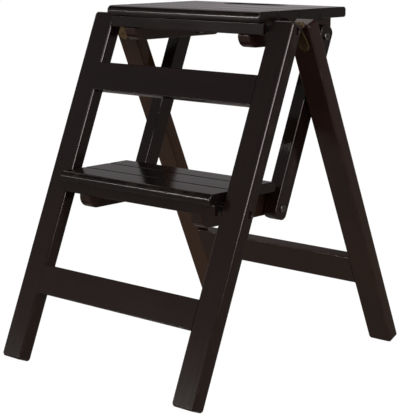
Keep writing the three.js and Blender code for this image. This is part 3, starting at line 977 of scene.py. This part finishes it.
def knuckle(middle, low, high):
    corners = [
        (PIN_RADIUS + FIT, low, 0), (BARREL_RADIUS, low, KNUCKLE_EASE),
        (BARREL_RADIUS, high, KNUCKLE_EASE), (PIN_RADIUS + FIT, high, 0),
    ]
    outline = rounded(corners, TURNED_STEPS)
    return turned("knuckle", axis_place + ALONG_X * middle, ALONG_X, outline)


def clearance(middle, low, high, radius):
    """Cutter of room round the pin in the plate of a leaf."""
    outline = rounded(rectangle(0, radius, low, high))
    return turned("clearance", axis_place + ALONG_X * middle, ALONG_X, outline)


def leaf(node, axes, plate_low, spans, gaps):
    """Leaf with knuckles over its spans and room for the other leaf's knuckles in its gaps.

    Returns the leaf and the place of its screw along the first two axes.
    """
    left, right = span(node, ALONG_X)
    middle, half = (left + right) / 2, (right - left) / 2
    top = axis_place.dot(axes[1])
    outline = leaf_outline(middle, half, top)
    plate = prism(node + "_piece", axes, outline, plate_low, plate_low + PLATE, PLATE_EASE)
    around, inside = BARREL_RADIUS + KNUCKLE_GAP, BARREL_RADIUS - PLATE / 2
    combined(plate, [clearance(middle, *gap, around) for gap in gaps], "DIFFERENCE")
    combined(plate, [clearance(middle, *reach, inside) for reach in spans], "DIFFERENCE")
    combined(plate, [knuckle(middle, *reach) for reach in spans], "UNION")
    return plate, middle, top - BULB_DROP


def hinge_pin(node, head_seat):
    left, right = span(node, ALONG_X)
    middle, reach = (left + right) / 2, (right - left) / 2
    low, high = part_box(node)
    head_radius = (high[2] - low[2]) / 2
    corners = [
        (0, -reach, 0), (head_radius, -reach, RING_EASE), (head_radius, -head_seat, 0),
        (PIN_RADIUS, -head_seat, 0), (PIN_RADIUS, head_seat, 0),
        (head_radius, head_seat, 0), (head_radius, reach, RING_EASE), (0, reach, 0),
    ]
    outline = rounded(corners, TURNED_STEPS)
    pin = turned(node + "_piece", axis_place + ALONG_X * middle, ALONG_X, outline)
    dress_as(pin, BRASS, node)


for side_name, _ in SIDES:
    near, far = outwards(f"hinge_front_leaf_{side_name}")
    full = (far - near) / 2
    side_spans = [(-full, -CENTRE_HALF - KNUCKLE_GAP), (CENTRE_HALF + KNUCKLE_GAP, full)]
    centre_span = [(-CENTRE_HALF, CENTRE_HALF)]
    centre_gap = [(-CENTRE_HALF - KNUCKLE_GAP, CENTRE_HALF + KNUCKLE_GAP)]
    side_gaps = [(-full - OVERRUN, -CENTRE_HALF), (CENTRE_HALF, full + OVERRUN)]
    for frame_name, axes, facing, spans, gaps in (
        ("front", FRONT_POST, -1, side_spans, centre_gap),
        ("rear", REAR_POST, 1, centre_span, side_gaps),
    ):
        name = f"hinge_{frame_name}_leaf_{side_name}"
        back, front = span(name, axes[2])
        plate_low = front - PLATE if facing < 0 else back
        face = plate_low if facing < 0 else plate_low + PLATE
        out = axes[2] * facing
        piece, screw_x, screw_up = leaf(name, axes, plate_low, spans, gaps)
        screw_at = axes[0] * screw_x + axes[1] * screw_up + axes[2] * face
        sink = turned("sink", screw_at, out, rounded([
            (0, -PLATE - OVERRUN, 0), (SINK_HOLE, -PLATE - OVERRUN, 0), (SINK_HOLE, -PLATE, 0),
            (SINK_RADIUS, 0, 0), (SINK_RADIUS, OVERRUN, 0), (0, OVERRUN, 0),
        ]))
        dress_as(combined(piece, [sink], "DIFFERENCE"), BRASS, name)
        screw_name = f"hinge_{frame_name}_screw_{side_name}"
        screw = countersunk(screw_name, screw_at, out, SINK_RADIUS - FIT, PLATE)
        dress(screw, BRASS, body_of[name], "hinge_brass")
    hinge_pin(f"hinge_pin_{side_name}", full + FIT)


# Studio. The camera sees a white room. The boards mirror a dimmer one, as in the photograph, with
# a backdrop on the far side that is brighter low down, a dark ceiling and a skylight. SHARES are
# of ROOM_MIRRORED, EDGES are cosines of the angle to a direction, and HEIGHTS are sines.

WHITE = (1, 1, 1, 1)
WORLD_GLOW = 0.50
ROOM_MIRRORED = 0.20
ROOM_TINT = (1.0, 0.93, 0.95, 1)
BACKDROP_WAY = (-0.17, 0.985, 0.0)
BACKDROP_EDGE = (0.74, 0.88)
HORIZON_HEIGHTS = (0.07, 0.20)
HORIZON_SHARE = 2.1
UPPER_SHARE = 0.85
CEILING_HEIGHTS = (0.42, 0.66)
CEILING_SHARE = 0.12
SKYLIGHT = 0.8
SKYLIGHT_WAY = (-0.663, 0.455, 0.595)
SKYLIGHT_EDGE = (0.980, 0.997)
FLOOR_REACH = 12.0
FLOOR_COLOUR = (0.9, 0.9, 0.9, 1)
FLOOR_ROUGHNESS = 0.9
FLOOR_GLOW = 1.04
FLOOR_MIRRORED = 0.20
FLOOR_TINT = (1.0, 0.89, 0.84, 1)
HAZE = 0.94
LAMP_TARGET = Vector((0, 0, 0.28))
LAMPS = {
    "window": {
        "way": (0.875, -0.485, 0.43), "distance": 2.3, "size": (0.56, 0.7), "power": 13,
        "colour": (1.0, 0.88, 0.94),
    },
    "strip": {"way": (-0.65, -0.755, 0.11), "distance": 6.0, "size": (2.6, 0.2), "power": 10},
    "end_strip": {"way": (-0.545, -0.84, 0.11), "distance": 6.0, "size": (1.9, 0.2), "power": 48},
    "overhead": {"way": (0.45, -0.45, 1.0), "distance": 2.3, "size": (2.4, 2.4), "power": 20},
}


def ray_kinds(graph):
    """Whether a ray is seen, straight or through glass, and whether it is mirrored."""
    path = graph.add("ShaderNodeLightPath").outputs
    seen = graph.math("MAXIMUM", path["Is Camera Ray"], path["Is Transmission Ray"])
    return seen, path["Is Glossy Ray"]


def studio_world():
    world = bpy.data.worlds.new("studio")
    world.use_nodes = True
    world.node_tree.nodes.clear()
    graph = Graph(world)
    way = graph.add("ShaderNodeTexCoord").outputs["Generated"]
    height = graph.add("ShaderNodeSeparateXYZ", {0: way}).outputs["Z"]
    backdrop = graph.ramp(graph.dot(way, BACKDROP_WAY), *BACKDROP_EDGE)
    band = graph.ramp(height, *HORIZON_HEIGHTS, HORIZON_SHARE - 1, UPPER_SHARE - 1)
    mirrored = graph.math("ADD", graph.math("MULTIPLY", backdrop, band), 1.0)
    mirrored = graph.math("MULTIPLY", mirrored, ROOM_MIRRORED)
    ceiling = graph.ramp(height, *CEILING_HEIGHTS, 1.0, CEILING_SHARE)
    mirrored = graph.math("MULTIPLY", mirrored, ceiling)
    skylight = graph.ramp(graph.dot(way, SKYLIGHT_WAY), *SKYLIGHT_EDGE, 0.0, SKYLIGHT)
    mirrored = graph.math("ADD", mirrored, skylight)
    seen, glossy = ray_kinds(graph)
    strength = graph.choose(glossy, graph.choose(seen, WORLD_GLOW, 1.0), mirrored)
    tint = graph.mix(glossy, WHITE, ROOM_TINT)
    background = graph.add("ShaderNodeBackground", {"Color": tint, "Strength": strength})
    graph.add("ShaderNodeOutputWorld", {"Surface": background.outputs[0]})
    return world


def floor_material():
    """Pale paper under a haze that hides the horizon but keeps the stool's shadow."""
    material = new_material("floor")
    graph = Graph(material)
    paper = graph.add("ShaderNodeBsdfPrincipled", {
        "Base Color": FLOOR_COLOUR, "Roughness": FLOOR_ROUGHNESS,
    })
    seen, glossy = ray_kinds(graph)
    tint = graph.mix(glossy, WHITE, FLOOR_TINT)
    brightness = graph.choose(glossy, FLOOR_GLOW, FLOOR_MIRRORED)
    glow = graph.add("ShaderNodeEmission", {"Color": tint, "Strength": brightness})
    share = graph.choose(glossy, graph.choose(seen, 0.0, HAZE), 1.0)
    shaders = {0: share, 1: paper.outputs[0], 2: glow.outputs[0]}
    mixed = graph.add("ShaderNodeMixShader", shaders)
    graph.add("ShaderNodeOutputMaterial", {"Surface": mixed.outputs[0]})
    return material


def soft_light(name, way, distance, size, power, colour=(1, 1, 1)):
    """Soft box that faces the stool from the given direction."""
    data = bpy.data.lights.new(name, "AREA")
    data.shape = "RECTANGLE"
    data.size, data.size_y = size
    data.energy = power
    data.color = colour
    lamp = bpy.data.objects.new(name, data)
    out = Vector(way).normalized()
    lamp.location = LAMP_TARGET + out * distance
    lamp.rotation_euler = out.to_track_quat("Z", "Y").to_euler()
    lamp.visible_camera = False
    bpy.context.scene.collection.objects.link(lamp)


bpy.context.scene.world = studio_world()
floor_mesh = bpy.data.meshes.new("floor")
floor_mesh.from_pydata(
    [(x * FLOOR_REACH, y * FLOOR_REACH, 0) for x, y in ((-1, -1), (1, -1), (1, 1), (-1, 1))],
    [], [(0, 1, 2, 3)],
)
floor_mesh.materials.append(floor_material())
floor = bpy.data.objects.new("floor", floor_mesh)
bpy.context.scene.collection.objects.link(floor)
for lamp_name, settings in LAMPS.items():
    soft_light(lamp_name, **settings)
